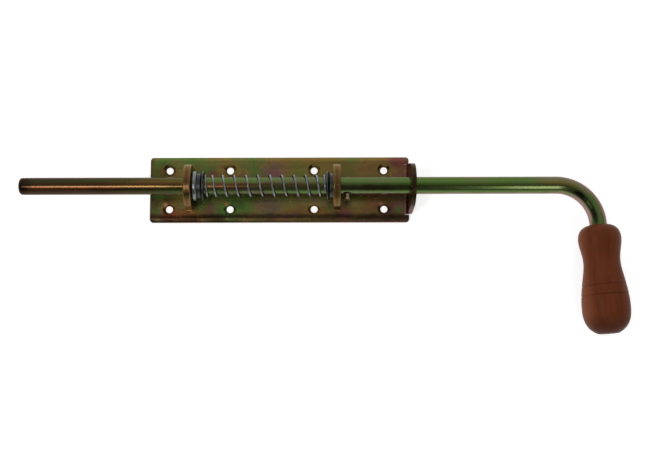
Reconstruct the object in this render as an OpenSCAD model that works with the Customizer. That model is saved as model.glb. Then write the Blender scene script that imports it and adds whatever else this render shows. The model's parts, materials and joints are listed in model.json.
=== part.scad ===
// Spring bolt latch with a cranked bolt and a turned wooden grip.
// X runs along the bolt, +X towards the handle. The mounting plane is z = 0
// and x = 0 is at the middle of the mounting plate's length.

/* [Plate] */
// Length of the plate from its free end to the bent end's corners
plate_len = 243; // [225:1:300]
// Width of the plate
plate_w = 62; // [58:0.5:80]
// Sheet thickness
sheet_t = 4; // [3:0.5:5]
// Width of the strip that falls away along each long edge
edge_fall_w = 5; // [3:0.5:6]
// Radius of that fall
edge_fall_r = 10; // [8:0.5:14]
// Radius of the plate's corners, seen from above
corner_r = 3; // [1:0.5:8]

/* [Screw holes] */
// Diameter of the screw holes
screw_d = 6.6; // [5:0.1:8]
// Diameter of the countersinks at the surface
countersink_d = 12; // [9:0.1:14]
// Distance between the two rows of holes
screw_rows = 37; // [34:1:42]
// First hole, measured from the plate's free end
screw_first = 18; // [11:0.5:24]
// Step from the first to the second hole
screw_step_1 = 57; // [42:0.5:63]
// Step from the second to the third hole
screw_step_2 = 79; // [56:0.5:85]
// Step from the third to the fourth hole
screw_step_3 = 65.5; // [42:0.5:67]

/* [Tail tab] */
// Width of the bent-up tab at its foot
tab_w = 47; // [42:0.5:50]
// Width of the tab's round top
tab_top_w = 41.4; // [37:0.2:41.8]
// Inner radius of the tab's bend
tab_bend_r = 3; // [2:0.5:5]
// Distance from the plate's corners to the tab's outer face, at the end of its bend
tab_reach = 2.5; // [1:0.5:6.5]
// Angle by which the tab leans outwards
tab_lean = 4; // [1:0.5:6]
// Width of the relief cut on each side of the tab
relief_w = 0.8; // [0.5:0.1:3]

/* [Lugs] */
// Thickness of the nose lug and the stop lug
lug_t = 7; // [5:0.5:10]
// Width of both lugs
lug_w = 39.5; // [36:0.5:43]
// Rounding of the lugs' edges
lug_edge_r = 1.2; // [0.4:0.1:2]
// Nose lug's outer face, measured from the plate's free end
nose_lug_at = 34.3; // [27:0.1:55]
// Clear distance between the two lugs
lug_gap = 130.5; // [120:0.5:150]
// Radius of the weld beads at the lugs' feet
weld_r = 1.6; // [1.2:0.1:3]

/* [Bolt] */
// Diameter of the bolt
bolt_d = 16; // [12:0.5:18]
// Radial clearance of the bolt in its three bores
bolt_clear = 0.3; // [0.1:0.05:0.6]
// Height of the bolt's axis above the plate's outer face
bolt_lift = 18.5; // [18.5:0.5:23]
// Length of the bolt past the plate's free end
nose_reach = 118.7; // [60:0.1:180]
// Rounding of the bolt's nose
nose_r = 3.3; // [1:0.1:6]
// Straight length between the plate's corners and the bend
tail_reach = 134.6; // [100:0.1:200]
// Centre-line radius of the bend
bend_r = 38; // [25:1:60]
// Angle of the bend
bend_angle = 86.5; // [80:0.1:95]

/* [Collar and pins] */
// Outer diameter of the thrust collar and of both spring cups
collar_d = 27.3; // [25:0.1:29]
// Width of the thrust collar
collar_t = 4.4; // [4:0.1:8]
// Rounding of the collar's rim
collar_edge_r = 1.5; // [0.5:0.1:1.9]
// Diameter of the cross pin behind the collar
collar_pin_d = 4; // [3:0.5:5]
// Length that the cross pin stands out of the bolt on each side
collar_pin_proud = 1.5; // [1:0.1:2]
// Diameter of the stop pin
stop_pin_d = 5; // [3:0.5:6]
// Diameter of the stop pin's head
stop_head_d = 7.4; // [6.2:0.1:10]
// Height of the stop pin's head
stop_head_t = 1.5; // [1:0.1:3]
// Length of the stop pin out of the bolt, head included
stop_pin_proud = 5; // [3:0.1:6]
// Clear distance from the stop lug to the stop pin
stop_pin_at = 3.4; // [2:0.1:12]

/* [Spring] */
// Wire diameter
wire_d = 2; // [1:0.1:2.8]
// Radial gap between the bolt and the spring's coils
coil_clear = 0.7; // [0.4:0.1:1.8]
// Number of turns
coil_turns = 11.5; // [7:0.1:14]
// Turns over which the pitch closes at the nose end
close_nose = 0.9; // [0.4:0.05:1.5]
// Turns over which the pitch closes at the stop end
close_stop = 0.8; // [0.4:0.05:1.5]
// Turn angle of the wire's first end, 90 is at the top
coil_start = 317; // [0:1:359]

/* [Spring cups] */
// Length of each cup along the bolt
cup_l = 5.9; // [5.2:0.1:9]
// Outer diameter of the cups' hubs
cup_hub_d = 23.2; // [22:0.1:24.5]
// Length of the flare from hub to rim
cup_flare_l = 1.8; // [1:0.1:3.4]
// Thickness of the cups' rims
cup_rim_t = 1.1; // [0.6:0.1:1.5]

/* [Grip] */
// Length of the grip
grip_len = 99.7; // [90:0.1:125]
// Radius of the grip's upper bulge
grip_top_r = 19.7; // [18:0.1:21.5]
// Radius of the grip's waist
grip_waist_r = 16.8; // [14:0.1:18]
// Radius of the grip's lower bulge
grip_low_r = 22.2; // [20:0.1:22.4]
// Width of the flat rim round the bolt at the grip's top
grip_rim = 1.4; // [0.8:0.1:3]
// Clear distance from the end of the bend to the grip
grip_gap = 2; // [0:0.1:10]
// Depth to which the full bolt diameter enters the grip
grip_socket = 11.5; // [6:0.5:20]
// Radial step from the bolt down to the tang inside the grip
tang_step = 2; // [1:0.1:3.5]
// Length of the tang
tang_len = 47; // [35:1:55]
// Distance of the first turned groove from the grip's top
groove_at = 56; // [48:0.1:61]
// Distance between the two turned grooves
groove_step = 9; // [5:0.1:14]
// Radius of the turned grooves
groove_r = 0.6; // [0.3:0.1:1]

/* [Hidden] */
// Gap between pieces that only touch, and around pins and the tang
touch = 0.1;
// Gap between pieces that turn against each other
run_gap = 0.3;
round_fn = 96;
wire_fn = 10;
rings_per_turn = 24;
bend_steps = 24;
barb_count = 4;
barb_depth = 0.5;
// Pitch of the spring's wire at its very ends
end_pitch = 1.5;
// Step in radius where the handle arm laps over the end of the bend
lap_step = 0.05;

free_x = -plate_len / 2;
corner_x = plate_len / 2;
axis_z = sheet_t + bolt_lift;

screw_x = [
    free_x + screw_first,
    free_x + screw_first + screw_step_1,
    free_x + screw_first + screw_step_1 + screw_step_2,
    free_x + screw_first + screw_step_1 + screw_step_2 + screw_step_3
];

tab_outer_r = tab_bend_r + sheet_t;
tab_bend_x = corner_x + tab_reach - tab_outer_r;
tab_bend_z = sheet_t + tab_bend_r;
tab_rise = bolt_lift + tab_top_w;

nose_lug_x = free_x + nose_lug_at;
stop_lug_x = nose_lug_x + lug_t + lug_gap;

collar_x = nose_lug_x + lug_t + run_gap;
collar_pin_x = collar_x + collar_t + touch + collar_pin_d / 2;
nose_cup_x = collar_x + collar_t + run_gap;
spring_x0 = nose_cup_x + cup_l + touch;
spring_x1 = stop_lug_x - cup_l - touch;
stop_pin_x = stop_lug_x + lug_t + stop_pin_at + stop_pin_d / 2;

nose_x = free_x - nose_reach;
bend_x = corner_x + tail_reach;
bore_d = bolt_d + 2 * bolt_clear;
coil_d = bolt_d + 2 * coil_clear + wire_d;
cup_recess_d = bolt_d + 2 * collar_pin_proud + 2 * run_gap;
cup_recess_l = collar_pin_d + touch;
tang_d = bolt_d - 2 * tang_step;
grip_end_r = bolt_d / 2 + grip_rim;
arm_len = grip_gap + grip_socket - touch;

passivated = [0.45, 0.42, 0.22];
bright_zinc = [0.66, 0.68, 0.71];
stained_wood = [0.42, 0.17, 0.08];

// Turns a profile drawn as (radius, length) into a body along +X.
module along_x(x) {
    translate([x, 0, axis_z]) rotate([0, 90, 0]) rotate_extrude($fn = round_fn) children();
}

// A solid cylinder along +X on the bolt's axis.
module axis_cylinder(x, length, d) {
    translate([x, 0, axis_z]) rotate([0, 90, 0]) cylinder(h = length, d = d, $fn = round_fn);
}

// A flat rectangle with round corners, centred.
module round_rect(w, h, r) {
    square([w - 2 * r, h], center = true);
    square([w, h - 2 * r], center = true);
    for (sx = [-1, 1], sy = [-1, 1])
        translate([sx * (w / 2 - r), sy * (h / 2 - r)]) circle(r = r, $fn = round_fn);
}

// Cross-section of the plate: flat, with its upper face falling away along both long edges.
module plate_section() {
    intersection() {
        translate([-plate_w / 2, 0]) square([plate_w, sheet_t]);
        union() {
            translate([-plate_w / 2 + edge_fall_w, 0]) square([plate_w - 2 * edge_fall_w, sheet_t]);
            for (s = [-1, 1])
                translate([s * (plate_w / 2 - edge_fall_w), sheet_t - edge_fall_r])
                    circle(r = edge_fall_r, $fn = 2 * round_fn);
        }
    }
}

// Points of an arc round the origin, from angle a to angle b.
function arc(r, a, b) = [
    for (i = [0 : bend_steps]) let (angle = a + (b - a) * i / bend_steps) [r * cos(angle), r * sin(angle)]
];

// Side view of the tab: the bend, then a flat that leans outwards.
module tab_side() {
    flat_end = tab_rise * [sin(tab_lean), cos(tab_lean)];
    inner = arc(tab_bend_r, -90, -tab_lean);
    outer = arc(tab_outer_r, -tab_lean, -90);
    polygon(concat(inner, [inner[bend_steps] + flat_end, outer[0] + flat_end], outer));
}

// Arch outline of the tab in the YZ plane: a half circle round the bolt's axis, and legs that
// spread from where they touch that circle down to the foot.
module tab_outline() {
    arch_r = tab_top_w / 2;
    drop = axis_z - tab_bend_z;
    touch_angle = acos(arch_r / norm([tab_w / 2, drop])) - atan2(drop, tab_w / 2);
    touch_y = arch_r * cos(touch_angle);
    touch_z = arch_r * sin(touch_angle);
    translate([0, axis_z]) {
        intersection() {
            circle(r = arch_r, $fn = round_fn);
            translate([-arch_r, 0]) square([2 * arch_r, arch_r]);
        }
        polygon([
            [-tab_w / 2, -axis_z], [tab_w / 2, -axis_z], [tab_w / 2, -drop],
            [touch_y, touch_z], [-touch_y, touch_z], [-tab_w / 2, -drop]
        ]);
    }
}

// The end of the sheet, bent up and cut to an arch.
module tail_tab() {
    intersection() {
        translate([tab_bend_x, tab_w / 2 + 1, tab_bend_z]) rotate([90, 0, 0])
            linear_extrude(tab_w + 2) tab_side();
        translate([tab_bend_x, 0, 0]) rotate([90, 0, 90]) linear_extrude(tab_rise) tab_outline();
    }
}

module base_plate() {
    color(passivated) difference() {
        union() {
            intersection() {
                translate([free_x, 0, 0]) rotate([90, 0, 90]) linear_extrude(plate_len) plate_section();
                translate([free_x + plate_len / 2, 0, 0])
                    linear_extrude(sheet_t) round_rect(plate_len, plate_w, corner_r);
            }
            tail_tab();
        }
        // Sheet removed past the bend line, in front of the tab and beside it
        translate([tab_bend_x, -tab_w / 2 - relief_w, -touch])
            cube([plate_len, relief_w, sheet_t + 2 * touch]);
        translate([tab_bend_x, tab_w / 2, -touch]) cube([plate_len, relief_w, sheet_t + 2 * touch]);
        bend_clearance();
        for (x = screw_x, s = [-1, 1]) translate([x, s * screw_rows / 2, 0]) countersunk_hole();
        axis_cylinder(tab_bend_x, tab_outer_r + sheet_t, bore_d);
    }
}

// What the bend leaves free of the flat sheet between the two relief cuts.
module bend_clearance() {
    translate([tab_bend_x, tab_w / 2, tab_bend_z]) rotate([90, 0, 0])
        linear_extrude(tab_w) difference() {
            translate([0, -tab_bend_z - touch]) square([plate_len, tab_bend_z + touch]);
            circle(r = tab_outer_r, $fn = round_fn);
        }
}

// Screw hole with a 90 degree countersink from the plate's outer face.
module countersunk_hole() {
    sink_depth = (countersink_d - screw_d) / 2;
    translate([0, 0, -1]) cylinder(h = sheet_t + 2, d = screw_d, $fn = round_fn);
    translate([0, 0, sheet_t - sink_depth])
        cylinder(h = sink_depth + touch, d1 = screw_d, d2 = countersink_d + 2 * touch, $fn = round_fn);
}

// Thick arched lug with rounded edges, standing on the plate.
module lug(x) {
    difference() {
        union() {
            translate([x, 0, axis_z]) rotate([0, 90, 0]) rotate([0, 0, 90])
                rotate_extrude(angle = 180, $fn = round_fn) intersection() {
                    translate([0, lug_t / 2]) round_rect(lug_w, lug_t, lug_edge_r);
                    square([lug_w, lug_t]);
                }
            translate([x + lug_t / 2, 0, sheet_t])
                linear_extrude(bolt_lift) round_rect(lug_t, lug_w, lug_edge_r);
        }
        axis_cylinder(x - 1, lug_t + 2, bore_d);
    }
}

module nose_lug() {
    color(passivated) lug(nose_lug_x);
}

module stop_lug() {
    color(passivated) lug(stop_lug_x);
}

// Weld bead along a lug's foot, on the side given by s, with round ends.
module weld_bead(x, s) {
    bead_l = lug_t - 2 * lug_edge_r;
    color(passivated) intersection() {
        translate([x + lug_edge_r, s * lug_w / 2, sheet_t]) union() {
            rotate([0, 90, 0]) cylinder(h = bead_l, r = weld_r, $fn = round_fn);
            for (end_x = [0, bead_l]) translate([end_x, 0, 0]) sphere(r = weld_r, $fn = round_fn);
        }
        translate([x - weld_r, s > 0 ? lug_w / 2 : -lug_w / 2 - weld_r, sheet_t])
            cube([lug_t + 2 * weld_r, weld_r, weld_r]);
    }
}

module nose_weld_left() { weld_bead(nose_lug_x, 1); }
module nose_weld_right() { weld_bead(nose_lug_x, -1); }
module stop_weld_left() { weld_bead(stop_lug_x, 1); }
module stop_weld_right() { weld_bead(stop_lug_x, -1); }

// Places children at the end of the bend, with +Z along the handle arm.
module arm_frame() {
    translate([bend_x, -bend_r, axis_z]) rotate([0, 0, -bend_angle])
        translate([0, bend_r, 0]) rotate([0, 90, 0]) children();
}

// The bolt's straight length with its rounded nose, from x = -straight_l to the bend at x = 0.
module bolt_straight() {
    straight_l = bend_x - nose_x;
    translate([-straight_l, 0, 0]) rotate([0, 90, 0]) rotate_extrude($fn = round_fn) {
        translate([0, nose_r]) square([bolt_d / 2, straight_l - nose_r]);
        square([bolt_d / 2 - nose_r, nose_r]);
        translate([bolt_d / 2 - nose_r, 0]) intersection() {
            translate([0, nose_r]) circle(r = nose_r, $fn = round_fn);
            square(nose_r);
        }
    }
}

// Half outline of the tang, with ring barbs that hold it in the wood.
module tang_profile() {
    barb_pitch = tang_len / (barb_count + 1);
    square([tang_d / 2 - barb_depth, tang_len]);
    for (i = [1 : barb_count])
        translate([0, i * barb_pitch]) polygon([
            [0, -barb_pitch / 2], [tang_d / 2, -barb_pitch / 2],
            [tang_d / 2 - barb_depth, barb_pitch / 2 - touch], [0, barb_pitch / 2 - touch]
        ]);
}

module bolt_rod() {
    color(passivated) difference() {
        union() {
            translate([bend_x, 0, axis_z]) {
                bolt_straight();
                translate([0, -bend_r, 0]) mirror([1, -1, 0])
                    rotate_extrude(angle = bend_angle, $fn = 2 * round_fn)
                        translate([bend_r, 0]) circle(d = bolt_d, $fn = round_fn);
            }
            arm_frame() {
                translate([0, 0, -touch])
                    cylinder(h = arm_len + touch, d = bolt_d + 2 * lap_step, $fn = round_fn);
                translate([0, 0, arm_len - touch]) rotate_extrude($fn = round_fn) tang_profile();
            }
        }
        cross_bore(collar_pin_x, collar_pin_d);
        cross_bore(stop_pin_x, stop_pin_d);
    }
}

// Hole through the bolt along Y for a cross pin.
module cross_bore(x, d) {
    translate([x, bolt_d, axis_z]) rotate([90, 0, 0])
        cylinder(h = 2 * bolt_d, d = d + touch, $fn = round_fn);
}

module thrust_collar() {
    color(bright_zinc) difference() {
        along_x(collar_x) intersection() {
            translate([0, collar_t / 2]) round_rect(collar_d, collar_t, collar_edge_r);
            square([collar_d, collar_t]);
        }
        axis_cylinder(collar_x - 1, collar_t + 2, bolt_d + touch);
    }
}

module collar_pin() {
    pin_l = bolt_d + 2 * collar_pin_proud;
    color(bright_zinc) translate([collar_pin_x, pin_l / 2, axis_z]) rotate([90, 0, 0])
        cylinder(h = pin_l, d = collar_pin_d, $fn = round_fn);
}

// Flared cup with its open end at x. It opens towards -X at turn 90 and towards +X at turn -90.
module spring_cup(x, turn) {
    rim_r = collar_d / 2;
    floor_at = cup_recess_l;
    flare_at = cup_l - cup_rim_t - cup_flare_l;
    color(bright_zinc) translate([x, 0, axis_z]) rotate([0, turn, 0])
        rotate_extrude($fn = round_fn) polygon([
            [cup_recess_d / 2, 0], [cup_hub_d / 2, 0], [cup_hub_d / 2, flare_at],
            [rim_r, cup_l - cup_rim_t], [rim_r, cup_l], [bore_d / 2, cup_l],
            [bore_d / 2, floor_at], [cup_recess_d / 2, floor_at]
        ]);
}

// The cup whose floor rests on the cross pin, hidden inside its hub.
module nose_spring_cup() {
    spring_cup(nose_cup_x, 90);
}

// The same cup turned round, with its hub on the stop lug.
module stop_spring_cup() {
    spring_cup(stop_lug_x, -90);
}

// Length along the spring after n turns: the pitch eases from end_pitch to full_pitch.
function eased(n, tau, full_pitch) = full_pitch * n - (full_pitch - end_pitch) * tau * (1 - exp(-n / tau));

module spring() {
    wire_r = wire_d / 2;
    travel = spring_x1 - spring_x0 - wire_d;
    full_pitch = (travel - end_pitch * (close_nose + close_stop)) / (coil_turns - close_nose - close_stop);
    half = coil_turns / 2;
    middle = eased(half, close_nose, full_pitch);
    middle_back = eased(half, close_stop, full_pitch);
    rings = ceil(coil_turns * rings_per_turn);
    // Distance along X of the wire's centre at turn n
    function wire_x(n) = n < half
        ? eased(n, close_nose, full_pitch) * travel / (middle + middle_back)
        : travel - eased(coil_turns - n, close_stop, full_pitch) * travel / (middle + middle_back);
    points = [
        for (i = [0 : rings], j = [0 : wire_fn - 1])
            let (
                n = coil_turns * i / rings,
                turn = coil_start + 360 * n,
                side = -360 * j / wire_fn,
                radius = coil_d / 2 + wire_r * cos(side)
            )
            [
                spring_x0 + wire_r + wire_x(n) + wire_r * sin(side),
                radius * cos(turn),
                axis_z + radius * sin(turn)
            ]
    ];
    sides = [
        for (i = [0 : rings - 1], j = [0 : wire_fn - 1])
            let (a = i * wire_fn + j, b = i * wire_fn + (j + 1) % wire_fn)
            [a, a + wire_fn, b + wire_fn, b]
    ];
    first = [for (j = [0 : wire_fn - 1]) j];
    last = [for (j = [wire_fn - 1 : -1 : 0]) rings * wire_fn + j];
    color(bright_zinc) polyhedron(points, concat(sides, [first, last]), convexity = 10);
}

module stop_pin() {
    tip_y = -bolt_d / 2 - stop_pin_proud;
    color(passivated) translate([stop_pin_x, tip_y, axis_z]) rotate([-90, 0, 0]) {
        cylinder(h = bolt_d + stop_pin_proud - touch, d = stop_pin_d, $fn = round_fn);
        cylinder(h = stop_head_t, d = stop_head_d, $fn = round_fn);
    }
}

// Stations of the grip's outline as [distance from the top, radius].
grip_stations = [
    [0, grip_end_r],
    [0.014 * grip_len, grip_top_r - 6],
    [0.043 * grip_len, grip_top_r - 2.7],
    [0.08 * grip_len, grip_top_r - 0.8],
    [0.133 * grip_len, grip_top_r],
    [0.229 * grip_len, (grip_top_r + grip_waist_r) / 2],
    [0.335 * grip_len, grip_waist_r],
    [0.416 * grip_len, 0.88 * grip_waist_r + 0.12 * grip_low_r],
    [0.509 * grip_len, 0.56 * grip_waist_r + 0.44 * grip_low_r],
    [0.6 * grip_len, 0.26 * grip_waist_r + 0.74 * grip_low_r],
    [0.692 * grip_len, grip_low_r - 0.3],
    [0.765 * grip_len, grip_low_r],
    [0.877 * grip_len, grip_low_r - 1.5],
    [0.93 * grip_len, grip_low_r - 4.1],
    [0.968 * grip_len, grip_low_r - 7.6],
    [0.99 * grip_len, grip_low_r - 10.9],
    [grip_len, grip_end_r]
];
points_per_span = 4;

// Point at parameter u of a smooth curve through b and c, with neighbours a and d.
function curve_point(a, b, c, d, u) =
    0.5 * (2 * b + u * (c - a) + u * u * (2 * a - 5 * b + 4 * c - d) + u * u * u * (3 * b - a - 3 * c + d));

function station(i) = grip_stations[max(0, min(len(grip_stations) - 1, i))];

function grip_curve() = [
    for (i = [0 : len(grip_stations) - 2], k = [0 : points_per_span - 1])
        curve_point(station(i - 1), station(i), station(i + 1), station(i + 2), k / points_per_span)
];

// Radius of the grip's outline at a distance from its top.
function grip_r_at(s) = lookup(s, [for (p = concat(grip_curve(), [station(len(grip_stations) - 1)])) p]);

module grip() {
    outline = concat([[0, 0]], [for (p = grip_curve()) [p[1], p[0]]], [[grip_end_r, grip_len], [0, grip_len]]);
    color(stained_wood) arm_frame() translate([0, 0, grip_gap]) difference() {
        rotate_extrude($fn = round_fn) polygon(outline);
        translate([0, 0, -touch])
            cylinder(h = grip_socket + touch, d = bolt_d + 2 * lap_step + touch, $fn = round_fn);
        translate([0, 0, grip_socket - touch])
            cylinder(h = tang_len + 2 * touch, d = tang_d + touch, $fn = round_fn);
        for (s = [groove_at, groove_at + groove_step])
            rotate_extrude($fn = round_fn) translate([grip_r_at(s) + groove_r / 3, s])
                circle(r = groove_r, $fn = 24);
    }
}

base_plate();
nose_lug();
stop_lug();
nose_weld_left();
nose_weld_right();
stop_weld_left();
stop_weld_right();
bolt_rod();
thrust_collar();
collar_pin();
nose_spring_cup();
spring();
stop_spring_cup();
stop_pin();
grip();
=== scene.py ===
import json
import logging
import math
from dataclasses import dataclass, field
from enum import Enum

import bpy
import numpy as np
from mathutils import Euler, Matrix, Vector


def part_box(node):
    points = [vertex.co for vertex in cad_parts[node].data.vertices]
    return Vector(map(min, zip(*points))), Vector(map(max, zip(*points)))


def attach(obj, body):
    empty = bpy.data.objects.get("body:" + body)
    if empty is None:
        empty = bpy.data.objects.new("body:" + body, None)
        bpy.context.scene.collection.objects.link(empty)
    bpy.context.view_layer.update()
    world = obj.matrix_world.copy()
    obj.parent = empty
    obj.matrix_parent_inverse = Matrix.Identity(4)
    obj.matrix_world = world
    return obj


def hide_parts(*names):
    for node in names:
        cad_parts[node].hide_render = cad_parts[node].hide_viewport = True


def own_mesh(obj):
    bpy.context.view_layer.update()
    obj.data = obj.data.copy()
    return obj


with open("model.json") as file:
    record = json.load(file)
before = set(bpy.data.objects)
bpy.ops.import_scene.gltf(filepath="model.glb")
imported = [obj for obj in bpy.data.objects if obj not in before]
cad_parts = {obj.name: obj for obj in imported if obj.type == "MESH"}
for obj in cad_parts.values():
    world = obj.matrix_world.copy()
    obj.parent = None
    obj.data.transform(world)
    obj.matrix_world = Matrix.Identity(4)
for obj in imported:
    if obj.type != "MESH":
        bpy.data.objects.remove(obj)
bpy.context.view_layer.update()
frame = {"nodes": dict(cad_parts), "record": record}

# Looks of a spring bolt latch: a cranked bolt of passivated steel in a pressed plate with two lugs,
# its coil spring between two zinc cups, and a turned grip of stained wood.
# Every length is in metres, in the frame of the CAD model: +X runs along the bolt to the handle.
MM = 0.001
UP = np.array([0.0, 0.0, 1.0])
LOG = logging.getLogger("latch_looks")
Colour = tuple[float, float, float]
Point = tuple[float, float, float]
Stops = tuple[tuple[float, Colour], ...]
WHITE = (1.0, 1.0, 1.0, 1.0)
# most of a noise's values lie between these two
NOISE_LOW = 0.3
NOISE_HIGH = 0.7
# relief of a bump pattern at full strength
BUMP_DEPTH = 0.2 * MM


class Place(Enum):
    """Which coordinates a finish reads."""

    OBJECT = "object"  # the place in the part's frame, for CAD nodes
    OWN = "own_place"  # the attribute in which a bent or turned piece lies straight


class Body(Enum):
    """Rigid bodies that the new pieces ride on."""

    FRAME = "frame"
    BOLT = "bolt"


def joint(name: str) -> dict:
    """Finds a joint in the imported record."""
    return next(entry for entry in frame["record"]["behaviour"]["joints"] if entry["name"] == name)


@dataclass(frozen=True)
class Sizes:
    """Places read from the CAD model, which the pieces made here have to fit."""

    nose_x: float
    axis_z: float
    bar_radius: float
    spring_start: float
    spring_end: float
    spring_radius: float
    stroke: float

    @classmethod
    def read(cls) -> "Sizes":
        """Reads them from the CAD nodes' boxes and the record's joints.

        Returns:
            The sizes.
        """
        bar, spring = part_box("bolt_rod"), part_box("spring")
        return cls(nose_x=bar[0].x, axis_z=joint("bolt_turn")["pos_m"][2], bar_radius=bar[1].y,
                   spring_start=spring[0].x, spring_end=spring[1].x, spring_radius=spring[1].y,
                   stroke=joint("seat_slide")["range_m"][1])


SIZES = Sizes.read()


# node helpers


class Graph:
    """Places and links the nodes of one node tree."""

    COLUMNS = 9
    COLUMN_STEP = 220
    ROW_STEP = -180

    def __init__(self, tree: bpy.types.NodeTree) -> None:
        """Starts on a tree that holds no nodes.

        Args:
            tree: The node tree to fill.
        """
        self.tree = tree
        tree.nodes.clear()

    def node(self, kind: str, inputs: dict | None = None, **settings: object) -> bpy.types.Node:
        """Adds one node.

        Args:
            kind: Blender's type name of the node.
            inputs: Values or output sockets for the node's inputs, by name or index.
            settings: Properties of the node itself.

        Returns:
            The new node.
        """
        made = self.tree.nodes.new(kind)
        row, column = divmod(len(self.tree.nodes), self.COLUMNS)
        made.location = (column * self.COLUMN_STEP, row * self.ROW_STEP)
        for key, value in settings.items():
            setattr(made, key, value)
        for key, value in (inputs or {}).items():
            if isinstance(value, bpy.types.NodeSocket):
                self.tree.links.new(value, made.inputs[key])
            else:
                made.inputs[key].default_value = value
        return made

    def mix(self, factor: object, first: object, second: object) -> bpy.types.NodeSocket:
        """Mixes two colours.

        Args:
            factor: Share of the second colour.
            first: Colour at factor 0.
            second: Colour at factor 1.

        Returns:
            The mixed colour's socket.
        """
        # inputs 6 and 7 and output 2 are the node's colour sockets
        made = self.node("ShaderNodeMix", {0: factor, 6: first, 7: second}, data_type="RGBA")
        return made.outputs[2]

    def math(self, operation: str, first: object, second: object = 0.0) -> bpy.types.NodeSocket:
        """Applies a math operation to two values and returns its socket."""
        return self.node("ShaderNodeMath", {0: first, 1: second}, operation=operation).outputs[0]

    def weigh(self, first: object, second: object, share: float) -> bpy.types.NodeSocket:
        """Adds two values, of which the second counts for the given share, and returns the sum's socket."""
        rest = self.math("MULTIPLY", first, 1 - share)
        return self.math("ADD", rest, self.math("MULTIPLY", second, share))

    def stretch(self, vector: object, factors: object) -> bpy.types.NodeSocket:
        """Multiplies a vector's three parts by three factors and returns its socket."""
        return self.node("ShaderNodeVectorMath", {0: vector, 1: factors}, operation="MULTIPLY").outputs[0]

    def span(self, value: object, low: float, high: float, to_low: float = 0.0,
             to_high: float = 1.0) -> bpy.types.NodeSocket:
        """Maps one range to another with soft ends, and clamps outside it.

        Args:
            value: The value to map.
            low: One end of its range.
            high: The other end, which may be the lower of the two.
            to_low: What low becomes.
            to_high: What high becomes.

        Returns:
            The mapped value's socket.
        """
        made = self.node("ShaderNodeMapRange", {0: value, 1: low, 2: high, 3: to_low, 4: to_high},
                         interpolation_type="SMOOTHSTEP")
        return made.outputs[0]

    def noise(self, vector: object, scale: object, detail: float = 2.0, roughness: float = 0.5,
              distortion: float = 0.0) -> bpy.types.NodeSocket:
        """Adds a noise texture.

        Args:
            vector: The coordinates that it reads.
            scale: How fine it is, roughly in cells to the metre.
            detail: Number of finer layers.
            roughness: Weight of each layer against the one before.
            distortion: How far the pattern is warped.

        Returns:
            The value's socket.
        """
        made = self.node("ShaderNodeTexNoise", {"Vector": vector, "Scale": scale, "Detail": detail,
                                                "Roughness": roughness, "Distortion": distortion})
        return made.outputs["Fac"]

    def ramp(self, value: object, stops: Stops) -> bpy.types.NodeSocket:
        """Adds a colour ramp.

        Args:
            value: What picks the colour, 0 to 1.
            stops: Positions and linear colours.

        Returns:
            The colour's socket.
        """
        made = self.node("ShaderNodeValToRGB", {0: value})
        elements = made.color_ramp.elements
        while len(elements) < len(stops):
            elements.new(0.5)
        for element, (position, colour) in zip(elements, stops):
            element.position = position
            element.color = (*colour, 1.0)
        return made.outputs[0]

    def relief(self, strength: float, height: object) -> bpy.types.NodeSocket:
        """Tilts the normal by a height pattern and returns the normal's socket."""
        made = self.node("ShaderNodeBump", {"Strength": strength, "Distance": BUMP_DEPTH, "Height": height})
        return made.outputs[0]


def effect(name: str, inputs: dict[str, tuple[str, object]], outputs: dict[str, str]) -> tuple[Graph, dict]:
    """Starts a shader node group.

    Args:
        name: The group's name.
        inputs: Socket type and default value by input name.
        outputs: Socket type by output name.

    Returns:
        The group's graph, and its input sockets by name.
    """
    tree = bpy.data.node_groups.new(name, "ShaderNodeTree")
    for label, (kind, default) in inputs.items():
        socket = tree.interface.new_socket(label, in_out="INPUT", socket_type=kind)
        if default is not None:
            socket.default_value = default
    for label, kind in outputs.items():
        tree.interface.new_socket(label, in_out="OUTPUT", socket_type=kind)
    graph = Graph(tree)
    source = graph.node("NodeGroupInput")
    return graph, {label: source.outputs[label] for label in inputs}


def srgb(red: int, green: int, blue: int) -> Colour:
    """Turns a colour in 8-bit display values into linear light, by the standard display curve.

    Args:
        red: Red, 0 to 255.
        green: Green, 0 to 255.
        blue: Blue, 0 to 255.

    Returns:
        The linear colour.
    """
    def linear(part: int) -> float:
        """Undoes the display curve for one channel."""
        share = part / 255
        return share / 12.92 if share <= 0.04045 else ((share + 0.055) / 1.055) ** 2.4
    return linear(red), linear(green), linear(blue)


# effects, each a shader node group


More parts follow.
